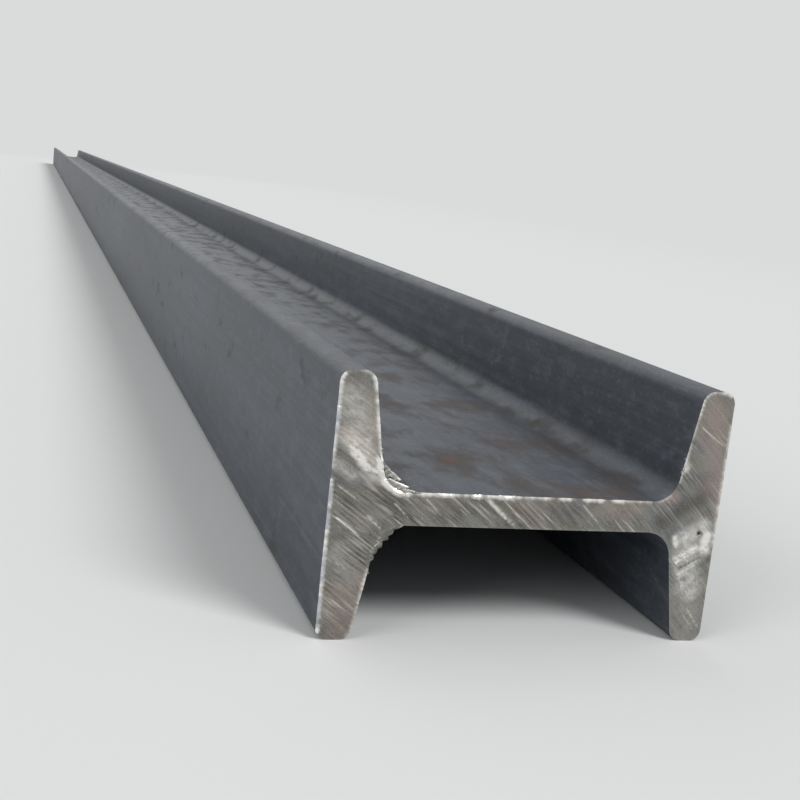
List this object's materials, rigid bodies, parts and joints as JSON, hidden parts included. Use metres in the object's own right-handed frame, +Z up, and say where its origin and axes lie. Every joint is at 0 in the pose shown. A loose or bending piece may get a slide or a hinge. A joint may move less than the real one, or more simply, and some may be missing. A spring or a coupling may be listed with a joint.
{
  "type": "steel i-beam",
  "caption": "Hot-rolled steel I-beam with tapered flanges, sawn square at both ends: carries loads in bending, or is cut and welded into frames and rails.",
  "frame": {"origin": "on the ground, under the middle of the beam: halfway between the sawn ends and halfway between the flanges' outer faces", "axes": "+Y along the beam, +Z up, square to the web, and +X across the section from flange to flange"},
  "size_m": [0.12, 6, 0.077],
  "materials": {
    "rolled_steel": "hot-rolled mill scale, dark blue-grey with a dull sheen, and brighter saw-cut ends"
  },
  "bodies": {
    "root": {"i_beam": "rolled_steel"}
  },
  "joints": []
}
